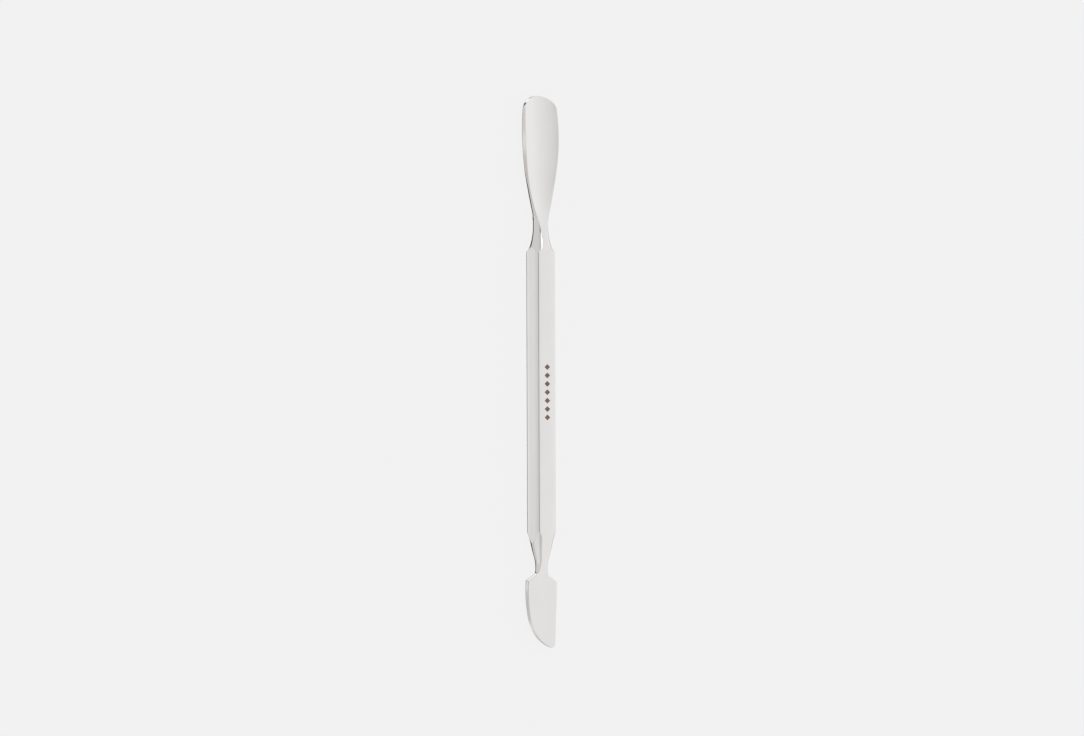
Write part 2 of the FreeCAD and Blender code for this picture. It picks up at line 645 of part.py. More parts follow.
def make_blade(doc, sizes):
    """The cleaner blade head: turned neck, square collar, tang and a thin flat blade."""
    body = make_body(doc, "cleaner_blade_head")
    turn_blade_blank(body, sizes)
    mill_flats(body, sizes, "blade_flats")
    pad_blade_plan(body, sizes)
    grind_blade(body, sizes)
    add_tang(body, sizes, "blade_tang")
    place_body(body, "Dimensions.blade_reach - Dimensions.overall_length / 2", 180)
    return body


def make_mark(doc, sizes):
    """A row of plain lozenges, a thin print on the front flat of the bar."""
    body = make_body(doc, "printed_mark")
    body.AllowCompound = True
    half_length, half_width = sizes["mark_length"] / 2, sizes["mark_width"] / 2
    first = -sizes["mark_pitch"] * (sizes["mark_count"] - 1) / 2
    corners = [(first - half_length, 0), (first, -half_width), (first + half_length, 0),
               (first, half_width)]
    drawing = Drawing(body, "lozenge", "XY_Plane", sizes)
    path = {number: drawing.line(corner, corners[(number + 1) % 4])
            for number, corner in enumerate(corners)}
    drawing.join(path, [])
    middle = "-<mark_pitch> * (<mark_count> - 1) / 2"
    drawing.across((path[0][0], START), f"{middle} - <mark_length> / 2", corners[0][0])
    drawing.rule("PointOnObject", path[0][0], START, X_AXIS)
    drawing.across((path[2][0], START), f"{middle} + <mark_length> / 2", corners[2][0])
    drawing.rule("PointOnObject", path[2][0], START, X_AXIS)
    drawing.across((path[1][0], START), middle, first)
    drawing.up((path[1][0], START), "-<mark_width> / 2", -half_width)
    drawing.across((path[3][0], START), middle, first)
    drawing.up((path[3][0], START), "<mark_width> / 2", half_width)
    print_pad = pad(body, "lozenge_print", drawing, "Dimensions.mark_thickness")
    row = body.newObject("PartDesign::LinearPattern", "lozenge_row")
    row.Originals = [print_pad]
    row.Direction = (drawing.sketch, ["H_Axis"])
    row.setExpression("Length", "Dimensions.mark_pitch * (Dimensions.mark_count - 1)")
    row.setExpression("Occurrences", "Dimensions.mark_count")
    body.Tip = row
    body.setExpression(".Placement.Base.x", "Dimensions.mark_centre")
    body.setExpression(".Placement.Base.z", "Dimensions.across_flats")
    return body


def check(doc, bodies):
    """Stop if any object failed, or any sub-part is missing or invalid."""
    for item in doc.Objects:
        bad = {"Invalid", "Error"} & set(item.State)
        if bad:
            raise RuntimeError(f"{item.Name} is {item.State}")
    for body in bodies:
        if body.Shape.isNull() or not body.Shape.isValid():
            raise RuntimeError(f"{body.Label} has no valid shape")


def main():
    doc = FreeCAD.newDocument("cuticle_pusher")
    sizes = make_sheet(doc)
    bodies = [make_bar(doc, sizes), make_pusher(doc, sizes), make_blade(doc, sizes),
              make_mark(doc, sizes)]
    doc.recompute()
    check(doc, bodies)
    os.makedirs("parts", exist_ok=True)
    for body in bodies:
        shape = body.Shape
        box = shape.optimalBoundingBox(True, False)
        print(f"{body.Label}: {len(shape.Solids)} solid(s), {shape.Volume:.2f} mm3, "
              f"x {box.XMin:.2f}..{box.XMax:.2f}, y {box.YMin:.2f}..{box.YMax:.2f}, "
              f"z {box.ZMin:.2f}..{box.ZMax:.2f}")
        shape.exportStep(f"parts/{body.Label}.step")


main()
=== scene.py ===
"""Looks of a double-ended steel cuticle pusher: a square bar, a cupped pusher and a cleaner blade.

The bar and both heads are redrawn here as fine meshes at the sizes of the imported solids, apart
from rounded rims and slightly dished facets. Head sizes are millimetres in the head's own frame:
x is 0 at its seam with the bar and grows towards its tip, z is the front, and the bar's axis is
the x axis.
"""
import math

import bmesh
import bpy
import numpy as np
from mathutils import Matrix, Vector

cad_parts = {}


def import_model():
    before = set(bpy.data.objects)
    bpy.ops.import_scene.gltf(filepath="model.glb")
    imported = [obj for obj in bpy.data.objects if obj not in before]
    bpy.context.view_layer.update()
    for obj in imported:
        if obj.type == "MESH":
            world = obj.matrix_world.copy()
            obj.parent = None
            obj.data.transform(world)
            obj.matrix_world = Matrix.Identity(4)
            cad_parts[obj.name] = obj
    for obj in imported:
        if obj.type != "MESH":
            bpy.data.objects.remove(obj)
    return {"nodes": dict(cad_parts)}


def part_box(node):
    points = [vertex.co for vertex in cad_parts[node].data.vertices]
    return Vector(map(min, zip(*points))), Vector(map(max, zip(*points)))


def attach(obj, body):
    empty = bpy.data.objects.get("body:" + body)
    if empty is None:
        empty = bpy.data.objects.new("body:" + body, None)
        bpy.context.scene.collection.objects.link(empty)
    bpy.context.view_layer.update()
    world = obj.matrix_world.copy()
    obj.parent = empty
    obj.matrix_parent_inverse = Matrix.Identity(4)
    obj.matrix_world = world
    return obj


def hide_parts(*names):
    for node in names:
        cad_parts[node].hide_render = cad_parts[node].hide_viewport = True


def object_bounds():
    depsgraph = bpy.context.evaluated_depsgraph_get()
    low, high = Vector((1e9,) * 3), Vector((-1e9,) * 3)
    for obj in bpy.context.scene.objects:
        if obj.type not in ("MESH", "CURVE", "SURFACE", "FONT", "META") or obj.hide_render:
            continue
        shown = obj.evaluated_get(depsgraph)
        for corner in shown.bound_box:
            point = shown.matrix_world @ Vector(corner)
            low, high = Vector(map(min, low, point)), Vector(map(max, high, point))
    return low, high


MM = 0.001

# the bar's section, and the round joints inside it
HALF_FLATS = 2.5
CORNER_RADIUS = 0.42
# each facet is flat this far from its middle, and falls away towards its corners beyond that
FACET_FLAT = 0.9
FACET_CROWN = 0.035
TANG_RADIUS = 1.5
TANG_LENGTH = 8.5
TANG_CHAMFER = 0.3
BORE_DEPTH = 9.0
DRILL_POINT = 0.9
FLATS_LENGTH = 7.0
BLANK_RADIUS = 3.6
# a turned radius under this one cuts into the square, and a larger one leaves it whole
CUTS_SQUARE = 3.3
# the place along a head where the dishing of its facets starts to fade
DISH_FADE_PLACE = 3.0
# stands for a surface that is too high to shape anything
CLEAR_HEIGHT = 9.0

# the pusher head
PUSHER_HEEL_RADIUS = 2.6
PUSHER_HEEL_PLACE = 3.4
PUSHER_SHOULDER_RADIUS = 14.5
PUSHER_NECK_RADIUS = 1.7
PUSHER_NECK_PLACE = 8.1
PUSHER_NECK_END = 11.5
PUSHER_ROOT_HALF_WIDTH = 1.08
PUSHER_REACH = 37.6
PUSHER_WIDEST_PLACE = 29.2
PUSHER_HALF_WIDTH = 4.6
PUSHER_SIDE_RADIUS = 62.0
PUSHER_CORNER_RADIUS = 2.5
PUSHER_TIP_RADIUS = 5.2
FACE_START = 0.6
FACE_STEP = 3.8
# at each step: middle height and cross radius of the hollow front, then of the crowned back
PUSHER_FACES = (
    (2.80, 200.0, -2.80, 200.0),
    (2.08, 150.0, -2.08, 150.0),
    (1.30, 60.0, -1.30, 80.0),
    (0.58, 8.2, -0.98, 26.0),
    (-0.02, 7.4, -1.02, 19.0),
    (-0.17, 8.6, -1.13, 15.0),
    (-0.17, 9.5, -1.16, 15.5),
    (-0.24, 9.9, -1.22, 17.0),
    (-0.38, 10.0, -1.31, 17.0),
    (-0.64, 9.5, -1.42, 13.5),
    (-0.86, 9.0, -1.50, 12.0),
)
# rims: how far each rounding reaches in from the outline, and how deep it goes
PUSHER_FRONT_RIM = (0.06, 0.06)
PUSHER_BACK_RIM = (0.12, 0.30)
PUSHER_NECK_RIM = (0.42, 1.10)
# places between which the rims grow from nothing, and the neck's back rim turns into the plate's
PUSHER_RIM_GROWS = (8.4, 10.6)
PUSHER_NECK_RIM_FADES = (16.0, 21.5)

# the blade head
BLADE_HEEL_RADIUS = 12.7
BLADE_HEEL_PLACE = 5.5
BLADE_SHOULDER_RADIUS = 64.0
BLADE_SHOULDER_END = 8.84
BLADE_NECK_BLEND = 8.4
BLADE_NECK_RADIUS = 1.415
BLADE_NECK_PLACE = 11.08
BLADE_NECK_END = 14.0
BLADE_REACH = 29.4
BLADE_ROOT_PLACE = 11.4
BLADE_ROOT_HALF_WIDTH = 1.08
BLADE_ROOT_RADIUS = 2.2
BLADE_HEEL_ROOT_RADIUS = 1.5
BLADE_SHOULDER_ANGLE = math.radians(55.0)
BLADE_HEEL_ANGLE = math.radians(60.0)
BLADE_BACK_OFFSET = 3.88
BLADE_BACK_ANGLE = math.radians(1.8)
BLADE_BELLY_OFFSET = 4.12
BLADE_BELLY_PLACE = 16.0
BLADE_BELLY_RADIUS = 34.0
BLADE_NOSE_RADIUS = 9.0
BLADE_TIP_RADIUS = 0.8
BLADE_RAMP_PLACE = 3.8
BLADE_RAMP_ANGLE = math.radians(12.1)
BLADE_RAMP_BLEND = 12.0
BLADE_FACE_PLACE = 13.5
BLADE_FACE_HEIGHT = 0.69
BLADE_FACE_ANGLE = math.radians(0.9)
BLADE_RIM = (0.13, 0.13)
BLADE_SHOULDER_RIM = (0.40, 0.42)
BLADE_SHOULDER_BACK_RIM = (0.34, 0.70)
BLADE_RIM_GROWS = (11.4, 12.4)
BLADE_SHOULDER_RIM_FADES = (14.0, 15.4)

# mesh fineness
SIDE_SAMPLES = 72
WALL_SAMPLES = 8
HALF_POINTS = 60
BAR_SECTIONS = 30
CREASE_BLEND = 0.07
TURN_WEIGHT = 0.4
# sections along a head: runs as first place, last place and count, then the plate's first place
# and count, then the tip, which takes every so many points of the outline past its first place
PUSHER_RUNS = ((0.0, 14.0, 141),)
PUSHER_PLATE_RUN = (14.25, 68)
PUSHER_TIP_RUN = (PUSHER_WIDEST_PLACE + 2.0, 7)
PUSHER_TIP_MARGIN = 0.003
PUSHER_LAST_GAP = 0.0008
BLADE_RUNS = ((0.0, 11.3, 114), (11.36, 15.0, 62))
BLADE_PLATE_RUN = (15.15, 62)
BLADE_TIP_RUN = (26.0, 6)
BLADE_LAST_GAP = 0.0004
PLATE_TO_TIP = 0.1
# in metres: points nearer than the first are merged, and edges shorter than the second collapse
MERGE_DISTANCE = 0.0000012
COLLAPSE_DISTANCE = 0.0000004
SHARP_ANGLE = math.radians(50.0)


# ---------------------------------------------------------------- curves in the plan

def arc_points(centre, radius, first, last, count):
    angles = np.linspace(first, last, count)
    return np.column_stack([centre[0] + radius * np.cos(angles),
                            centre[1] + radius * np.sin(angles)])


def arc_between(centre, start, end, count=160):
    """The short arc round centre from start to end."""
    radius = math.dist(centre, start)
    first = math.atan2(start[1] - centre[1], start[0] - centre[0])
    last = math.atan2(end[1] - centre[1], end[0] - centre[0])
    turn = (last - first + math.pi) % (2 * math.pi) - math.pi
    return arc_points(centre, radius, first, first + turn, count)


def run_between(start, end, count=120):
    return np.linspace(start, end, count)


def chain(*runs):
    """Join runs end to end, without repeating the points where they meet."""
    points = [runs[0]]
    for run in runs[1:]:
        points.append(run[1:])
    return np.vstack(points)


def circle_meeting(first, first_radius, second, second_radius):
    """The point at both distances from two centres, on the left of the line between them."""
    gap = math.dist(first, second)
    along = (first_radius ** 2 - second_radius ** 2 + gap ** 2) / (2 * gap)
    aside = math.sqrt(first_radius ** 2 - along ** 2)
    ux, uy = (second[0] - first[0]) / gap, (second[1] - first[1]) / gap
    return (first[0] + along * ux - aside * uy, first[1] + along * uy + aside * ux)


def point_towards(centre, target, radius):
    """The point at a distance from centre, towards target, or away from it when negative."""
    share = radius / math.dist(centre, target)
    return (centre[0] + (target[0] - centre[0]) * share,
            centre[1] + (target[1] - centre[1]) * share)


def pusher_side():
    """The pusher's left outline, from its root to the middle of its round tip."""
    root_x, root_y = PUSHER_NECK_PLACE, PUSHER_ROOT_HALF_WIDTH
    side_x, side_y, side = PUSHER_WIDEST_PLACE, PUSHER_HALF_WIDTH, PUSHER_SIDE_RADIUS
    run, rise = side_x - root_x, root_y - side_y + side
    root = (run ** 2 + rise ** 2 - side ** 2) / (2 * (side - rise))
    corner, tip = PUSHER_CORNER_RADIUS, PUSHER_TIP_RADIUS
    side_centre = (side_x, side_y - side)
    root_centre = (root_x, root_y + root)
    tip_centre = (PUSHER_REACH - tip, 0.0)
    corner_centre = circle_meeting(tip_centre, tip - corner, side_centre, side - corner)
    flare = point_towards(side_centre, root_centre, side)
    corner_start = point_towards(side_centre, corner_centre, side)
    corner_end = point_towards(tip_centre, corner_centre, tip)
    return chain(arc_between(root_centre, (root_x, root_y), flare),
                 arc_between(side_centre, flare, corner_start, 600),
                 arc_between(corner_centre, corner_start, corner_end, 240),
                 arc_between(tip_centre, corner_end, (PUSHER_REACH, 0.0), 300))


def blade_sides():
    """The blade's outline, as its back and its belly, each from the root to the tip."""
    root_x, root_y, root = BLADE_ROOT_PLACE, BLADE_ROOT_HALF_WIDTH, BLADE_ROOT_RADIUS
    slope, heel, lean = BLADE_SHOULDER_ANGLE, BLADE_HEEL_ANGLE, BLADE_BACK_ANGLE
    back_y, belly_y = BLADE_BACK_OFFSET, -BLADE_BELLY_OFFSET
    tip, nose, belly = BLADE_TIP_RADIUS, BLADE_NOSE_RADIUS, BLADE_BELLY_RADIUS
    tip_x = BLADE_REACH - tip
    flare = (root_x + root * math.sin(slope), root_y + root * (1 - math.cos(slope)))
    back_corner = (flare[0] + (back_y - flare[1]) / math.tan(slope), back_y)
    bend = BLADE_HEEL_ROOT_RADIUS
    heel_flare = (root_x + bend * math.sin(heel), -root_y - bend * (1 - math.cos(heel)))
    belly_corner = (heel_flare[0] + (heel_flare[1] - belly_y) / math.tan(heel), belly_y)
    run = (tip_x - back_corner[0] + tip * math.sin(lean)) / math.cos(lean)
    back_end = (back_corner[0] + run * math.cos(lean), back_y - run * math.sin(lean))
    tip_centre = (tip_x, back_end[1] - tip * math.cos(lean))
    belly_centre = (BLADE_BELLY_PLACE, belly_y + belly)
    nose_centre = circle_meeting(tip_centre, nose - tip, belly_centre, belly - nose)
    nose_end = point_towards(nose_centre, tip_centre, nose)
    belly_end = point_towards(belly_centre, nose_centre, belly)
    point = (BLADE_REACH, tip_centre[1])
    back = chain(arc_between((root_x, root_y + root), (root_x, root_y), flare),
                 run_between(flare, back_corner),
                 run_between(back_corner, back_end, 400),
                 arc_between(tip_centre, back_end, point, 200))
    front = chain(arc_between((root_x, -root_y - bend), (root_x, -root_y), heel_flare),
                  run_between(heel_flare, belly_corner),
                  run_between(belly_corner, (BLADE_BELLY_PLACE, belly_y), 30),
                  arc_between(belly_centre, (BLADE_BELLY_PLACE, belly_y), belly_end, 400),
                  arc_between(nose_centre, belly_end, nose_end, 200),
                  arc_between(tip_centre, nose_end, point, 200))
    return back, front


# ---------------------------------------------------------------- surfaces of the heads

def smooth_least(first, second, blend):
    """The lower of two heights, rounded over where they cross."""
    mix = np.clip(0.5 + 0.5 * (second - first) / blend, 0.0, 1.0)
    return second + (first - second) * mix - blend * mix * (1.0 - mix)


def smooth_step(value, low, high):
    share = np.clip((value - low) / (high - low), 0.0, 1.0)
    return share * share * (3.0 - 2.0 * share)


def square_height(y):
    """Half height of the bar's rounded square at a place across it."""
    over = np.clip(np.abs(y) - (HALF_FLATS - CORNER_RADIUS), 0.0, CORNER_RADIUS)
    return HALF_FLATS - CORNER_RADIUS + np.sqrt(CORNER_RADIUS ** 2 - over ** 2)


def crown_facets(ring, share=1.0):
    """Let the square's four facets fall away slightly towards its corners."""
    def dished(values, others):
        over = np.maximum(np.abs(others) - FACET_FLAT, 0.0)
        return values * (1.0 - share * FACET_CROWN * over ** 2 / HALF_FLATS)

    return np.column_stack([ring[:, 0], dished(ring[:, 1], ring[:, 2]),
                            dished(ring[:, 2], ring[:, 1])])


def spline_weights(count):
    """Matrix that turns evenly spaced values into a natural cubic spline's second derivatives."""
    left = np.eye(count)
    right = np.zeros((count, count))
    for row in range(1, count - 1):
        left[row, row - 1:row + 2] = (1.0, 4.0, 1.0)
        right[row, row - 1:row + 2] = (6.0, -12.0, 6.0)
    return np.linalg.solve(left, right)


FACE_BENDS = spline_weights(len(PUSHER_FACES))


def pusher_face(x, y, column):
    """Height of a ground face of the pusher: column 0 is the hollow, 2 is the back."""
    rows = np.array([[row[column] + row[column + 1] - np.sqrt(row[column + 1] ** 2 - y ** 2)]
                     for row in PUSHER_FACES])[:, 0, :]
    bends = FACE_BENDS @ rows
    place = np.clip((x - FACE_START) / FACE_STEP, -0.2, len(PUSHER_FACES) - 1)
    step = int(min(max(math.floor(place), 0), len(PUSHER_FACES) - 2))
    after = place - step
    before = 1.0 - after
    return (before * rows[step] + after * rows[step + 1]
            + ((before ** 3 - before) * bends[step] + (after ** 3 - after) * bends[step + 1]) / 6.0)


def arc_height(centre, radius, x):
    """Height of a circle's upper side at x, or of its lower side for a negative radius."""
    return centre[1] + math.copysign(math.sqrt(radius ** 2 - (x - centre[0]) ** 2), radius)


def heel_height(centre, radius, x):
    """The hollow arc between a blank's full width and its shoulder."""
    if abs(x - centre[0]) >= radius:
        return BLANK_RADIUS
    return min(arc_height(centre, -radius, x), BLANK_RADIUS)


def pusher_turned_radius(x):
    if x >= PUSHER_NECK_PLACE:
        return PUSHER_NECK_RADIUS
    sweep, heel = PUSHER_SHOULDER_RADIUS, PUSHER_HEEL_RADIUS
    centre = (PUSHER_NECK_PLACE, PUSHER_NECK_RADIUS + sweep)
    if x >= PUSHER_HEEL_PLACE:
        return arc_height(centre, -sweep, x)
    meet = (PUSHER_HEEL_PLACE, arc_height(centre, -sweep, PUSHER_HEEL_PLACE))
    return heel_height(point_towards(meet, centre, heel), heel, x)


def blade_turned_radius(x):
    centre_y = BLADE_NECK_RADIUS + BLADE_NECK_BLEND
    if x >= BLADE_NECK_PLACE:
        return BLADE_NECK_RADIUS
    if x >= BLADE_SHOULDER_END:
        return centre_y - math.sqrt(BLADE_NECK_BLEND ** 2 - (BLADE_NECK_PLACE - x) ** 2)
    drop = math.sqrt(BLADE_NECK_BLEND ** 2 - (BLADE_NECK_PLACE - BLADE_SHOULDER_END) ** 2)
    meet = (BLADE_SHOULDER_END, centre_y - drop)
    reach = (BLADE_SHOULDER_RADIUS + BLADE_NECK_BLEND) / BLADE_NECK_BLEND
    crown_x = BLADE_NECK_PLACE + (meet[0] - BLADE_NECK_PLACE) * reach
    crown = (crown_x, centre_y + (meet[1] - centre_y) * reach)
    if x >= BLADE_HEEL_PLACE:
        return arc_height(crown, BLADE_SHOULDER_RADIUS, x)
    heel_end = (BLADE_HEEL_PLACE, arc_height(crown, BLADE_SHOULDER_RADIUS, BLADE_HEEL_PLACE))
    heel_centre = point_towards(heel_end, crown, -BLADE_HEEL_RADIUS)
    return heel_height(heel_centre, BLADE_HEEL_RADIUS, x)


def blade_face(x):
    """Half thickness of the blade head's ground faces: a ramp, a blend and a thin taper."""
    centre_x = BLADE_FACE_PLACE + BLADE_RAMP_BLEND * math.sin(BLADE_FACE_ANGLE)
    centre_z = BLADE_FACE_HEIGHT + BLADE_RAMP_BLEND * math.cos(BLADE_FACE_ANGLE)
    foot_x = centre_x - BLADE_RAMP_BLEND * math.sin(BLADE_RAMP_ANGLE)
    foot_z = centre_z - BLADE_RAMP_BLEND * math.cos(BLADE_RAMP_ANGLE)
    if x < BLADE_RAMP_PLACE:
        return CLEAR_HEIGHT
    if x < foot_x:
        return foot_z + (foot_x - x) * math.tan(BLADE_RAMP_ANGLE)
    if x < BLADE_FACE_PLACE:
        return centre_z - math.sqrt(BLADE_RAMP_BLEND ** 2 - (x - centre_x) ** 2)
    return BLADE_FACE_HEIGHT - (x - BLADE_FACE_PLACE) * math.tan(BLADE_FACE_ANGLE)


def edge_distance(points, outline):
    """Distance in the plan from each point to the outline."""
    starts, steps = outline[:-1], outline[1:] - outline[:-1]
    lengths = np.maximum((steps ** 2).sum(1), 1e-12)
    found = np.full(len(points), 1e9)
    for first in range(0, len(points), 2000):
        some = points[first:first + 2000]
        apart = some[:, None, :] - starts[None, :, :]
        share = np.clip((apart * steps[None]).sum(2) / lengths, 0.0, 1.0)
        gap = apart - share[..., None] * steps[None]
        found[first:first + 2000] = np.sqrt((gap ** 2).sum(2).min(1))
    return found


def resample(line, count):
    """Space points along a line, closer together where it turns."""
    steps = np.diff(line, axis=0)
    lengths = np.sqrt((steps ** 2).sum(1))
    keep = np.concatenate([[True], lengths > 1e-7])
    line = line[keep]
    steps = np.diff(line, axis=0)
    lengths = np.sqrt((steps ** 2).sum(1))
    angles = np.unwrap(np.arctan2(steps[:, 1], steps[:, 0]))
    turns = np.zeros(len(line))
    turns[1:-1] = np.abs(np.diff(angles))
    weight = lengths + TURN_WEIGHT * 0.5 * (turns[:-1] + turns[1:])
    along = np.concatenate([[0.0], np.cumsum(weight)])
    wanted = np.linspace(0.0, along[-1], count)
    return np.column_stack([np.interp(wanted, along, line[:, k]) for k in (0, 1)])


def round_over(heights, distance, inset, depth):
    """Heights of a face lowered near its outline, so that its rim is a quarter of an ellipse."""
    share = 1.0 - np.clip(distance / inset, 0.0, 1.0)
    return heights - depth * (1.0 - np.sqrt(np.maximum(1.0 - share ** 2, 0.0)))


def between_rims(first, second, share):
    return tuple(low + (high - low) * share for low, high in zip(first, second))


def half_section(y, end, front, back):
    """Half a section: out along the front, down the wall at end, and in along the back."""
    top = np.column_stack([y, front])
    down = np.column_stack([np.full(WALL_SAMPLES, end),
                            np.linspace(front[-1], back[-1], WALL_SAMPLES + 2)[1:-1]])
    under = np.column_stack([y, back])[::-1]
    return resample(np.vstack([top, down, under]), HALF_POINTS)


def whole_section(x, halves):
    ring = np.vstack([halves[0][:-1], halves[1][::-1][:-1]])
    return np.column_stack([np.full(len(ring), x), ring])


def side_spread():
    """Shares of the way from a section's middle to its side, closer together at the side."""
    return np.sin(np.linspace(0.0, 1.0, SIDE_SAMPLES) * math.pi / 2)


def section_places(runs, plate_run, tip, end):
    first, count = plate_run
    plate = np.linspace(first, tip[0] - PLATE_TO_TIP, count)
    return np.concatenate([np.linspace(*run) for run in runs] + [plate, tip, [end]])


def tip_places(outline, tip_run):
    first, step = tip_run
    return outline[outline[:, 0] > first][::step][:, 0]


def outline_at(outline, x):
    return float(np.interp(x, outline[:, 0], outline[:, 1]))


def turned_surface(turned, y, x, inside):
    """Height of a head's turned blank over y, without limit where inside says so."""
    disc = np.sqrt(np.maximum(turned ** 2 - y ** 2, 0.0))
    disc = np.where(inside, CLEAR_HEIGHT, disc)
    if x >= FLATS_LENGTH:
        return disc
    if turned < CUTS_SQUARE:
        return smooth_least(disc, square_height(y), CREASE_BLEND)
    return square_height(y)


def head_loops(stations, sides, heights, rims, outline):
    """Closed sections of a head, one for each station along it.

    sides(x) gives the least and greatest y, heights(x, y) the front and back heights, and
    rims(x) the inset and depth of the front and back rims.
    """
    spread = side_spread()
    loops = []
    for x in stations:
        low, high = sides(x)
        middle = (low + high) / 2
        halves = []
        for end in (high, low):
            y = middle + (end - middle) * spread
            front, back = heights(x, y)
            front_rim, back_rim = rims(x)
            depth = max(front_rim[1] + back_rim[1], 1e-6)
            share = min(1.0, 0.9 * max(front[-1] - back[-1], 0.0) / depth)
            if min(front_rim[1], back_rim[1]) * share > 0.01:
                distance = edge_distance(np.column_stack([np.full_like(y, x), y]), outline)
                front = round_over(front, distance, front_rim[0], front_rim[1] * share)
                back = -round_over(-back, distance, back_rim[0], back_rim[1] * share)
            halves.append(half_section(y, end, front, back))
        square = 1.0 - float(smooth_step(x, DISH_FADE_PLACE, FLATS_LENGTH))
        loops.append(crown_facets(whole_section(x, halves), square))
    return loops


def tang_loops(first, radius_at, stations):
    """Round sections behind the seam, whose points face those of the first section."""
    angles = np.unwrap(np.arctan2(first[:, 2], first[:, 1]))
    loops = []
    for x, radius in zip(stations, radius_at):
        loops.append(np.column_stack([np.full(len(first), x), radius * np.cos(angles),
                                      radius * np.sin(angles)]))
    return loops


def pusher_loops():
    side = pusher_side()
    outline = np.vstack([side, (side * (1, -1))[::-1]])
    tip = tip_places(side, PUSHER_TIP_RUN)
    stations = section_places(PUSHER_RUNS, PUSHER_PLATE_RUN,
                              tip[tip < PUSHER_REACH - PUSHER_TIP_MARGIN],
                              PUSHER_REACH - PUSHER_LAST_GAP)

    def sides(x):
        half = min(pusher_turned_radius(x), HALF_FLATS) if x < PUSHER_NECK_END else 0.0
        if x >= PUSHER_NECK_PLACE:
            half = max(half, outline_at(side, x))
        return -half, half

    def heights(x, y):
        plate = outline_at(side, x) + 1e-9 if x >= PUSHER_NECK_PLACE else -1.0
        disc = turned_surface(pusher_turned_radius(x), y, x, np.abs(y) <= plate)
        front = smooth_least(pusher_face(x, y, 0), disc, CREASE_BLEND)
        back = -smooth_least(-pusher_face(x, y, 2), disc, CREASE_BLEND)
        return front, back

    def rims(x):
        grown = float(smooth_step(x, *PUSHER_RIM_GROWS))
        fade = float(smooth_step(x, *PUSHER_NECK_RIM_FADES))
        back = between_rims(PUSHER_NECK_RIM, PUSHER_BACK_RIM, fade)
        return (PUSHER_FRONT_RIM[0], PUSHER_FRONT_RIM[1] * grown), (back[0], back[1] * grown)

    return head_loops(stations, sides, heights, rims, outline)


def blade_loops():
    back, belly = blade_sides()
    outline = np.vstack([back, belly[::-1]])
    stations = section_places(BLADE_RUNS, BLADE_PLATE_RUN, tip_places(belly, BLADE_TIP_RUN),
                              BLADE_REACH - BLADE_LAST_GAP)

    def sides(x):
        half = min(blade_turned_radius(x), HALF_FLATS) if x < BLADE_NECK_END else 0.0
        if x < BLADE_ROOT_PLACE:
            return -half, half
        low, high = outline_at(belly, x), outline_at(back, x)
        if x >= BLADE_NECK_END:
            return low, high
        return min(-half, low), max(half, high)

    def heights(x, y):
        inside = np.zeros(len(y), dtype=bool)
        if x >= BLADE_ROOT_PLACE:
            inside = (y >= outline_at(belly, x) - 1e-9) & (y <= outline_at(back, x) + 1e-9)
        disc = turned_surface(blade_turned_radius(x), y, x, inside)
        half = smooth_least(np.full_like(y, blade_face(x)), disc, CREASE_BLEND)
        return half, -half

    def rims(x):
        grown = float(smooth_step(x, *BLADE_RIM_GROWS))
        fade = float(smooth_step(x, *BLADE_SHOULDER_RIM_FADES))
        front = between_rims(BLADE_SHOULDER_RIM, BLADE_RIM, fade)
        back = between_rims(BLADE_SHOULDER_BACK_RIM, BLADE_RIM, fade)
        return (front[0], front[1] * grown), (back[0], back[1] * grown)

    return head_loops(stations, sides, heights, rims, outline)


def loops_to_object(name, loops, place, end_centre=None, start_centre=None):
    """A mesh through loops of equal size. A centre caps an end with a fan, and an end without
    one stays open.
    """
    mesh = bpy.data.meshes.new(name)
    sheet = bmesh.new()
    rows = [[sheet.verts.new(place(point)) for point in loop] for loop in loops]
    count = len(rows[0])
    for first, second in zip(rows, rows[1:]):
        for k in range(count):
            after = (k + 1) % count
            sheet.faces.new((first[k], first[after], second[after], second[k]))
    for row, centre in ((rows[0], start_centre), (rows[-1], end_centre)):
        if centre is not None:
            hub = sheet.verts.new(place(centre))
            for k in range(count):
                sheet.faces.new((row[k], row[(k + 1) % count], hub))
    bmesh.ops.remove_doubles(sheet, verts=sheet.verts, dist=MERGE_DISTANCE)
    bmesh.ops.dissolve_degenerate(sheet, edges=sheet.edges, dist=COLLAPSE_DISTANCE)
    bmesh.ops.recalc_face_normals(sheet, faces=sheet.faces)
    sheet.to_mesh(mesh)
    sheet.free()
    for polygon in mesh.polygons:
        polygon.use_smooth = True
    mesh.set_sharp_from_angle(angle=SHARP_ANGLE)
    piece = bpy.data.objects.new(name, mesh)
    bpy.context.scene.collection.objects.link(piece)
    return piece


# ---------------------------------------------------------------- node helpers

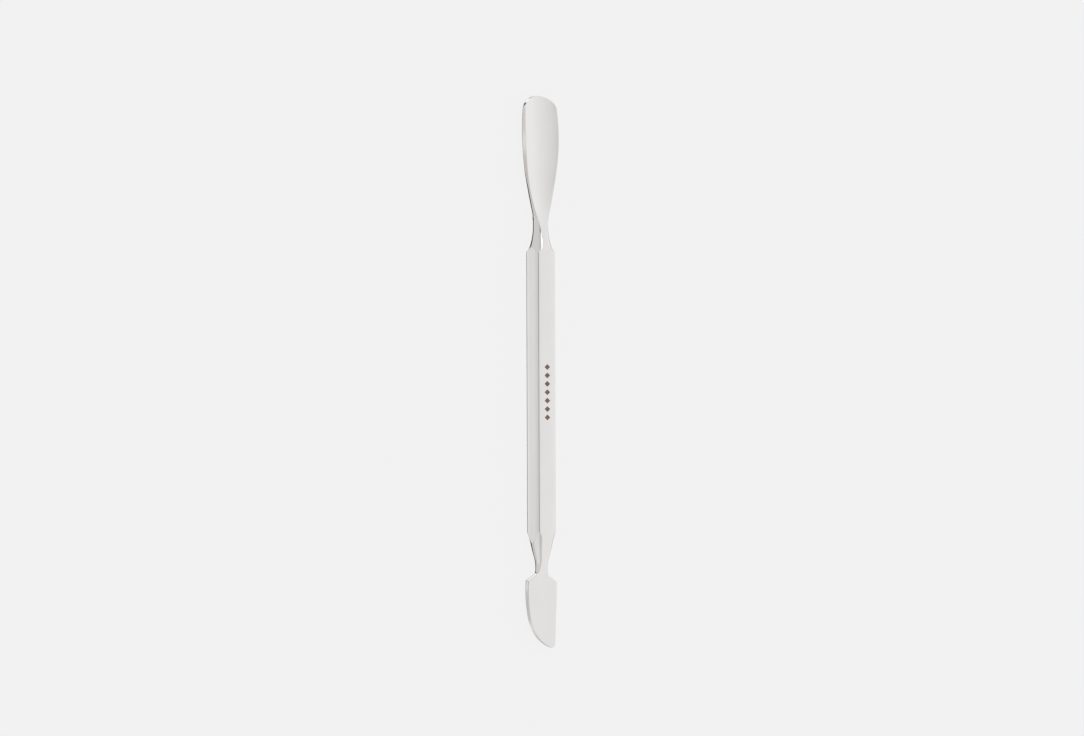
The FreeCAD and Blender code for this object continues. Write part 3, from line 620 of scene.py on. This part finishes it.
class Nodes:
    """Builds a node tree with short calls."""

    def __init__(self, tree):
        self.tree = tree
        tree.nodes.clear()

    def add(self, kind, **settings):
        node = self.tree.nodes.new(kind)
        for key, value in settings.items():
            setattr(node, key, value)
        return node

    def link(self, output, socket):
        self.tree.links.new(output, socket)

    def feed(self, socket, value):
        if isinstance(value, bpy.types.NodeSocket):
            self.link(value, socket)
        else:
            socket.default_value = value

    def math(self, operation, first, second):
        node = self.add("ShaderNodeMath", operation=operation)
        self.feed(node.inputs[0], first)
        self.feed(node.inputs[1], second)
        return node.outputs[0]

    def spread(self, value, from_low, from_high, to_low, to_high):
        """Carry a value smoothly from one range to another, held at both ends."""
        node = self.add("ShaderNodeMapRange", interpolation_type="SMOOTHSTEP")
        for key, part in (("Value", value), ("From Min", from_low), ("From Max", from_high),
                          ("To Min", to_low), ("To Max", to_high)):
            self.feed(node.inputs[key], part)
        return node.outputs["Result"]

    def pattern(self, scale, shift, detail, roughness):
        """Noise in the object's own space, stretched to so many waves a metre along x, y and z."""
        stretch = self.add("ShaderNodeMapping")
        stretch.inputs["Scale"].default_value = scale
        stretch.inputs["Location"].default_value = shift
        self.link(self.add("ShaderNodeTexCoord").outputs["Object"], stretch.inputs["Vector"])
        noise = self.add("ShaderNodeTexNoise")
        self.link(stretch.outputs["Vector"], noise.inputs["Vector"])
        noise.inputs["Scale"].default_value = 1.0
        noise.inputs["Detail"].default_value = detail
        noise.inputs["Roughness"].default_value = roughness
        return noise.outputs["Fac"]

    def blend(self, share, first, second):
        node = self.add("ShaderNodeMix", data_type="RGBA")
        self.feed(node.inputs[0], share)
        self.feed(node.inputs[6], first)
        self.feed(node.inputs[7], second)
        return node.outputs[2]

    def ramp(self, value, stops):
        node = self.add("ShaderNodeValToRGB")
        band = node.color_ramp
        band.interpolation = "LINEAR"
        while len(band.elements) < len(stops):
            band.elements.new(0.5)
        # all places first, because moving a stop can reorder the list
        for element, (place, colour) in zip(band.elements, stops):
            element.position = place
        for element, (place, colour) in zip(band.elements, stops):
            element.color = colour
        self.link(value, node.inputs["Fac"])
        return node.outputs["Color"]

    def surface(self, colour, roughness, relief, strength, distance, metallic):
        """A finished surface whose relief is distance metres deep."""
        bump = self.add("ShaderNodeBump")
        bump.inputs["Strength"].default_value = strength
        bump.inputs["Distance"].default_value = distance
        self.link(relief, bump.inputs["Height"])
        shader = self.add("ShaderNodeBsdfPrincipled")
        shader.inputs["Metallic"].default_value = metallic
        self.link(colour, shader.inputs["Base Color"])
        self.link(roughness, shader.inputs["Roughness"])
        self.link(bump.outputs["Normal"], shader.inputs["Normal"])
        self.link(shader.outputs[0], self.add("ShaderNodeOutputMaterial").inputs["Surface"])


def new_material(name):
    material = bpy.data.materials.new(name)
    material.use_nodes = True
    return material, Nodes(material.node_tree)


# patterns: waves a metre along x, y and z, then shift, detail and roughness of the noise
POLISH_LINES = ((90.0, 9000.0, 9000.0), (0.0, 0.0, 0.0), 3.0, 0.6)
BROAD_LINES = ((25.0, 1700.0, 1700.0), (3.0, 1.0, 7.0), 2.0, 0.5)
STEEL_HAZE = ((120.0, 260.0, 260.0), (9.0, 4.0, 2.0), 3.0, 0.55)
HAIR_SCRATCHES = ((420.0, 15000.0, 15000.0), (1.0, 8.0, 5.0), 1.0, 0.3)
INK_CLOUD = ((2500.0, 2500.0, 2500.0), (0.0, 0.0, 0.0), 3.0, 0.6)
INK_SPECKS = ((9000.0, 9000.0, 9000.0), (2.0, 5.0, 1.0), 2.0, 0.5)
# the part of a noise's range over which it acts: all but its rare ends, or its rare peaks only
USUAL = (0.3, 0.7)
HAZE_USUAL = (0.25, 0.75)
HAIR_PEAKS = (0.70, 0.78)
SPECK_PEAKS = (0.66, 0.74)

STEEL_TONES = ((0.795, 0.785, 0.775, 1.0), (0.812, 0.803, 0.797, 1.0))
HAIR_TONE = (0.73, 0.72, 0.71, 1.0)
HAIR_STRENGTH = 0.25
STEEL_ROUGHNESS = (0.115, 0.165)
LINE_ROUGHNESS = 0.02
HAIR_ROUGHNESS = 0.08
LINE_RELIEF = 0.5
BROAD_RELIEF = 1.2
STEEL_BUMP = (0.05, 0.00002)

INK_TONES = ((0.150, 0.082, 0.055, 1.0), (0.225, 0.130, 0.090, 1.0))
WORN_TONE = (0.55, 0.52, 0.50, 1.0)
WORN_STRENGTH = 0.6
INK_ROUGHNESS = (0.42, 0.58)
INK_BUMP = (0.3, 0.000004)


def make_steel():
    """Stainless steel, polished along the tool, with faint lines, haze and hair scratches."""
    material, n = new_material("polished_stainless_steel")
    lines = n.pattern(*POLISH_LINES)
    broad_lines = n.pattern(*BROAD_LINES)
    haze = n.pattern(*STEEL_HAZE)
    hairs = n.spread(n.pattern(*HAIR_SCRATCHES), *HAIR_PEAKS, 0.0, 1.0)
    colour = n.blend(n.spread(haze, *USUAL, 0.0, 1.0), *STEEL_TONES)
    colour = n.blend(n.math("MULTIPLY", hairs, HAIR_STRENGTH), colour, HAIR_TONE)
    rough = n.spread(haze, *HAZE_USUAL, *STEEL_ROUGHNESS)
    rough = n.math("ADD", rough, n.spread(lines, *USUAL, -LINE_ROUGHNESS, LINE_ROUGHNESS))
    rough = n.math("ADD", rough, n.math("MULTIPLY", hairs, HAIR_ROUGHNESS))
    relief = n.math("ADD", n.math("MULTIPLY", lines, LINE_RELIEF),
                    n.math("MULTIPLY", broad_lines, BROAD_RELIEF))
    n.surface(colour, rough, relief, *STEEL_BUMP, metallic=1.0)
    return material


def make_ink():
    """Brown pad-printed ink, thin enough to be slightly uneven, with small worn specks."""
    material, n = new_material("brown_mark_ink")
    cloud = n.pattern(*INK_CLOUD)
    specks = n.pattern(*INK_SPECKS)
    worn = n.spread(specks, *SPECK_PEAKS, 0.0, 1.0)
    colour = n.blend(n.spread(cloud, *USUAL, 0.0, 1.0), *INK_TONES)
    colour = n.blend(n.math("MULTIPLY", worn, WORN_STRENGTH), colour, WORN_TONE)
    rough = n.spread(cloud, *USUAL, *INK_ROUGHNESS)
    n.surface(colour, rough, specks, *INK_BUMP, metallic=0.0)
    return material


# ---------------------------------------------------------------- the object

def make_pieces(frame):
    steel, ink = make_steel(), make_ink()
    bar_low, bar_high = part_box("handle_bar")
    axis_z = (bar_low.z + bar_high.z) / 2

    def pusher_place(point):
        return (bar_high.x + point[0] * MM, point[1] * MM, axis_z + point[2] * MM)

    def blade_place(point):
        return (bar_low.x - point[0] * MM, -point[1] * MM, axis_z + point[2] * MM)

    tang_places = (0.0, TANG_CHAMFER - TANG_LENGTH, -TANG_LENGTH)
    tang_radii = (TANG_RADIUS, TANG_RADIUS, TANG_RADIUS - TANG_CHAMFER)
    made = []
    for name, loops, place, node in (
            ("cupped_pusher", pusher_loops(), pusher_place, "pusher_head"),
            ("cleaner_blade", blade_loops(), blade_place, "cleaner_blade_head")):
        # neither tip has a cap: the pusher's last narrow section is open, and the blade's last
        # sections fold back over each other within 0.0004 mm
        tang = tang_loops(loops[0], tang_radii, tang_places)
        piece = loops_to_object(name, tang[::-1] + loops, place, start_centre=(-TANG_LENGTH, 0, 0))
        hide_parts(node)
        made.append(piece)

    length = (bar_high.x - bar_low.x) / MM
    ring = bar_section()
    bore_places = (length, length - BORE_DEPTH, BORE_DEPTH, 0.0)
    bore = tang_loops(ring, (TANG_RADIUS,) * len(bore_places), bore_places)
    bar = bar_object(ring, length, bore, bar_low, axis_z)
    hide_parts("handle_bar")
    made.append(bar)
    for piece in made:
        piece.data.materials.append(steel)
        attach(piece, "root")
    for name, node in frame["nodes"].items():
        finish = ink if name == "printed_mark" else steel
        node.data.materials.clear()
        node.data.materials.append(finish)


def bar_section():
    """The bar's section as a ring of points, matching the sections at both seams."""
    spread = side_spread()
    halves = []
    for end in (HALF_FLATS, -HALF_FLATS):
        y = end * spread
        halves.append(half_section(y, end, square_height(y), -square_height(y)))
    return crown_facets(whole_section(0.0, halves))


def bar_object(ring, length, bore, bar_low, axis_z):
    """The bar: its outside, both end faces and both drilled bores, as one closed mesh."""
    outside = [ring + (x, 0, 0) for x in np.linspace(0.0, length, BAR_SECTIONS)]
    far, near = bore[:2], bore[2:]

    def place(point):
        return (bar_low.x + point[0] * MM, point[1] * MM, axis_z + point[2] * MM)

    return loops_to_object("square_bar", near + outside + far, place,
                           start_centre=(BORE_DEPTH + DRILL_POINT, 0, 0),
                           end_centre=(length - BORE_DEPTH - DRILL_POINT, 0, 0))


# ---------------------------------------------------------------- studio

VIEW_TILT = math.radians(35.0)
VIEW_DISTANCE = 1.363
VIEW_ROLL = math.radians(0.19)
AIM_ALONG = 0.00088
AIM_ASIDE = 0.00024
LENS = 200.0
SENSOR_WIDTH = 36.0
NEAREST_SEEN = 0.05

FLOOR_RADIUS = 3.0
FLOOR_DROP = 0.0001
# most of the floor's tone is glow, so that its light is even, and its paint takes a faint shadow
FLOOR_GLOW = 0.853
FLOOR_PAINT = 0.038

# the tent's level round the tool: degrees from the front, positive towards the left as seen with
# the pusher up
TENT_LEVELS = (
    (-180, 0.62), (-140, 0.64), (-125, 0.62), (-108, 0.66), (-97, 1.00), (-60, 1.00),
    (-45, 0.965), (-35, 0.935), (-19, 0.895), (2, 0.825), (12, 0.765), (22, 0.70), (45, 0.62),
    (60, 0.73), (118, 0.74), (128, 0.76), (139, 0.83), (146, 0.90), (151, 0.98), (160, 0.90),
    (180, 0.62),
)
# Panels in front of it. A turn is low, high and soft edge in degrees round the tool. A reach is
# low, high and soft edge along it, where -1 is straight past the blade and 1 past the pusher. An
# end is where a panel starts to fade, and where it is gone or whole.
SIDE_WALL_TURN = (62, 132, 10)
SIDE_WALL_END = (-0.30, -0.08)
SIDE_WALL_LEVEL = 0.86
BLADE_STRIP_TURN = (126, 152, 4)
BLADE_STRIP_END = (-0.055, -0.037)
BLADE_STRIP_LEVEL = 0.63
PUSHER_STRIP_TURN = (126, 150, 4)
PUSHER_STRIP_END = (0.028, 0.044)
PUSHER_STRIP_LEVEL = 0.72
# painted shade under the tool: a dark patch standing for the floor's shadow beneath it, which the
# steel reflects; its edges round the tool, its reaches along it, and its level
PAINTED_SHADE_LEFT_EDGE = (155, 160)
PAINTED_SHADE_LEFT_REACH = (-0.24, 0.66, 0.04)
PAINTED_SHADE_AND_PAPER_RIGHT_EDGE = (-150, -138)
PAINTED_SHADE_RIGHT_REACH = (-0.24, 0.43, 0.03)
PAINTED_SHADE_LEVEL = 0.08
PAPER_END = (0.45, 0.48)
PAPER_LEVEL = 1.3
GAP_TURN = (24, 44, 4)
GAP_REACH = (-0.24, 0.24, 0.06)
GAP_LEVEL = 0.19
BOX_TURN = (0, 25, 3)
BOX_REACH = (0.40, 0.92, 0.04)
LAMP_TURN = (15, 27, 2)
LAMP_REACH = (0.20, 0.46, 0.03)
BOX_LEVEL = 1.6
BROWN_TINT = (1.04, 0.985, 0.955)


def tone(level):
    return (level, level, level, 1.0)


def brown_tone(level):
    return (*(part * level for part in BROWN_TINT), 1.0)


def turn_share(degrees):
    """An angle round the tool as a share of a full turn, from -180 degrees."""
    return degrees / 360.0 + 0.5


def make_world():
    """A pale tent, given by the angle round the tool's length, with the panels listed above."""
    world = bpy.data.worlds.new("white_tent")
    bpy.context.scene.world = world
    world.use_nodes = True
    n = Nodes(world.node_tree)
    parts = n.add("ShaderNodeSeparateXYZ")
    n.link(n.add("ShaderNodeTexCoord").outputs["Generated"], parts.inputs[0])
    x, y, z = parts.outputs
    angle = n.math("DIVIDE", n.math("ARCTAN2", y, z), 2 * math.pi)
    share = n.math("ADD", angle, 0.5)

    def rising(value, low, high):
        return n.spread(value, low, high, 0.0, 1.0)

    def falling(value, low, high):
        return n.spread(value, low, high, 1.0, 0.0)

    def within(value, low, high, edge):
        return n.math("MULTIPLY", rising(value, low - edge, low + edge),
                      falling(value, high - edge, high + edge))

    def around(low, high, edge):
        return within(share, turn_share(low), turn_share(high), edge / 360.0)

    def panel(turn, reach):
        return n.math("MULTIPLY", around(*turn), within(x, *reach))

    colour = n.ramp(share, [(turn_share(degrees), tone(level)) for degrees, level in TENT_LEVELS])
    # a lighter side wall at the blade's end, and a shaded strip at either end
    side_wall = n.math("MULTIPLY", around(*SIDE_WALL_TURN), falling(x, *SIDE_WALL_END))
    colour = n.blend(side_wall, colour, tone(SIDE_WALL_LEVEL))
    strip = n.math("MULTIPLY", around(*BLADE_STRIP_TURN), falling(x, *BLADE_STRIP_END))
    colour = n.blend(strip, colour, brown_tone(BLADE_STRIP_LEVEL))
    strip = n.math("MULTIPLY", around(*PUSHER_STRIP_TURN), rising(x, *PUSHER_STRIP_END))
    colour = n.blend(strip, colour, brown_tone(PUSHER_STRIP_LEVEL))
    # painted shade: a dark patch of the tent below the tool that stands for the floor's shadow
    # under it, as the steel reflects it, with white paper on its right at the pusher's end
    left = rising(share, *map(turn_share, PAINTED_SHADE_LEFT_EDGE))
    right = falling(share, *map(turn_share, PAINTED_SHADE_AND_PAPER_RIGHT_EDGE))
    painted_shade = n.math("MAXIMUM", n.math("MULTIPLY", left, within(x, *PAINTED_SHADE_LEFT_REACH)),
                   n.math("MULTIPLY", right, within(x, *PAINTED_SHADE_RIGHT_REACH)))
    colour = n.blend(painted_shade, colour, brown_tone(PAINTED_SHADE_LEVEL))
    paper = n.math("MULTIPLY", right, rising(x, *PAPER_END))
    colour = n.blend(paper, colour, tone(PAPER_LEVEL))
    # a gap between two panels, which darkens the corners that run along the tool
    colour = n.blend(panel(GAP_TURN, GAP_REACH), colour, brown_tone(GAP_LEVEL))
    # a soft box at the pusher's end, and the lamp at its edge
    box = n.math("MAXIMUM", panel(BOX_TURN, BOX_REACH), panel(LAMP_TURN, LAMP_REACH))
    colour = n.blend(box, colour, tone(BOX_LEVEL))
    background = n.add("ShaderNodeBackground")
    n.link(colour, background.inputs["Color"])
    n.link(background.outputs[0], n.add("ShaderNodeOutputWorld").inputs["Surface"])


def make_floor(low):
    """A plain pale floor with a very faint contact shadow."""
    sheet = bmesh.new()
    bmesh.ops.create_circle(sheet, cap_ends=True, radius=FLOOR_RADIUS, segments=96)
    mesh = bpy.data.meshes.new("pale_floor")
    sheet.to_mesh(mesh)
    sheet.free()
    floor = bpy.data.objects.new("pale_floor", mesh)
    floor.location = (0.0, 0.0, low.z - FLOOR_DROP)
    bpy.context.scene.collection.objects.link(floor)
    floor.visible_glossy = False
    material, n = new_material("pale_floor_paint")
    glow = n.add("ShaderNodeEmission")
    glow.inputs["Color"].default_value = tone(1.0)
    glow.inputs["Strength"].default_value = FLOOR_GLOW
    paint = n.add("ShaderNodeBsdfDiffuse")
    paint.inputs["Color"].default_value = tone(FLOOR_PAINT)
    both = n.add("ShaderNodeAddShader")
    n.link(glow.outputs[0], both.inputs[0])
    n.link(paint.outputs[0], both.inputs[1])
    n.link(both.outputs[0], n.add("ShaderNodeOutputMaterial").inputs["Surface"])
    mesh.materials.append(material)


def make_camera(low, high):
    """A long lens that looks across the tool, tilted round its length, with the pusher up."""
    middle = (low + high) / 2
    back = Vector((0.0, math.sin(VIEW_TILT), math.cos(VIEW_TILT)))
    along = Vector((1.0, 0.0, 0.0))
    right = along.cross(back)
    up = along * math.cos(VIEW_ROLL) + right * math.sin(VIEW_ROLL)
    right = up.cross(back)
    aim = Vector((middle.x, 0.0, HALF_FLATS * MM)) + along * AIM_ALONG + right * AIM_ASIDE
    data = bpy.data.cameras.new("studio_camera")
    data.lens = LENS
    data.sensor_width = SENSOR_WIDTH
    data.clip_start = NEAREST_SEEN
    camera = bpy.data.objects.new("studio_camera", data)
    camera.matrix_world = Matrix.Translation(aim + back * VIEW_DISTANCE) @ Matrix((
        (right.x, up.x, back.x), (right.y, up.y, back.y), (right.z, up.z, back.z))).to_4x4()
    bpy.context.scene.collection.objects.link(camera)
    bpy.context.scene.camera = camera


def main():
    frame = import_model()
    cad_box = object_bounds()
    low, high = Vector(cad_box[0]), Vector(cad_box[1])
    make_pieces(frame)
    make_world()
    make_floor(low)
    make_camera(low, high)
    bpy.context.scene.view_settings.view_transform = "Standard"


main()
